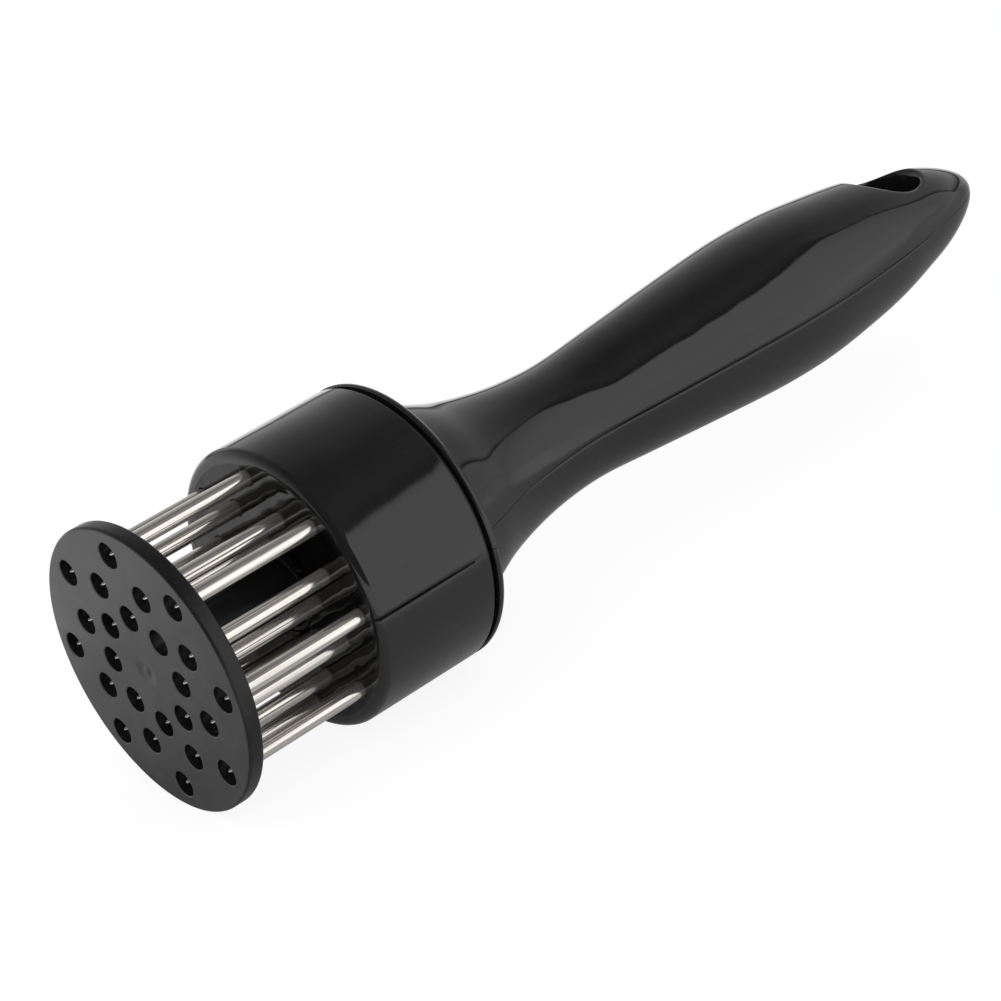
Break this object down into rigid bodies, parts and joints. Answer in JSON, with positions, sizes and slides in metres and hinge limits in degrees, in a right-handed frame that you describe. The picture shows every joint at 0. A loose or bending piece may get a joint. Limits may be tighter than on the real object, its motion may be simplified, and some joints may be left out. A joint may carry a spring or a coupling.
{
  "type": "needle meat tenderizer",
  "caption": "Hand tool that pierces meat: steel needles in a drum on a waisted handle with a hanging hole, and a sprung guard disc that slides back over the points.",
  "frame": {"origin": "centre of the guard disc's front face, which is the face that is pressed on the meat", "axes": "+Y along the tool's axis from the guard disc to the handle's tip, +Z along the hanging hole, up when the tool lies on its rims, +X to the side"},
  "size_m": [0.052, 0.2051, 0.052],
  "materials": {
    "handle_gloss": "glossy black moulded plastic",
    "housing_gloss": "glossy black moulded plastic",
    "guard_satin": "satin black moulded plastic",
    "inner_plastic": "natural moulded plastic",
    "mount_plastic": "black moulded plastic",
    "needle_steel": "polished stainless steel",
    "fastener_steel": "zinc plated steel",
    "spring_steel": "drawn spring wire"
  },
  "bodies": {
    "handle": {"guide_bush": "inner_plastic", "return_spring": "spring_steel", "guide_rod": "fastener_steel", "spring_seat": "inner_plastic", "needle_housing": "housing_gloss", "needle_plate": "inner_plastic", "backing_plate": "fastener_steel", "mounting_plate": "mount_plastic", "handle_shell_top": "handle_gloss", "handle_shell_bottom": "handle_gloss", "needle_01": "needle_steel", "needle_03": "needle_steel", "needle_04": "needle_steel", "needle_05": "needle_steel", "needle_06": "needle_steel", "needle_07": "needle_steel", "needle_08": "needle_steel", "needle_09": "needle_steel", "needle_10": "needle_steel", "needle_11": "needle_steel", "needle_12": "needle_steel", "needle_13": "needle_steel", "needle_14": "needle_steel", "needle_15": "needle_steel", "needle_16": "needle_steel", "needle_17": "needle_steel", "needle_18": "needle_steel", "needle_19": "needle_steel", "needle_20": "needle_steel", "needle_21": "needle_steel", "needle_22": "needle_steel", "needle_23": "needle_steel", "needle_24": "needle_steel", "plate_screw_1": "fastener_steel", "mount_screw_1": "fastener_steel", "plate_screw_2": "fastener_steel", "mount_screw_2": "fastener_steel", "plate_screw_3": "fastener_steel", "mount_screw_3": "fastener_steel", "plate_screw_4": "fastener_steel", "mount_screw_4": "fastener_steel"},
    "guard": {"needle_guard": "guard_satin", "guard_plunger": "guard_satin", "plunger_clip": "fastener_steel"}
  },
  "joints": [
    {"name": "guard_slide", "type": "slide", "parent": "handle", "child": "guard", "axis": [0, 1, 0], "range_m": [0, 0.025], "stiffness_N_per_m": 400, "springref_m": -0.02, "deforming": ["return_spring"]}
  ]
}
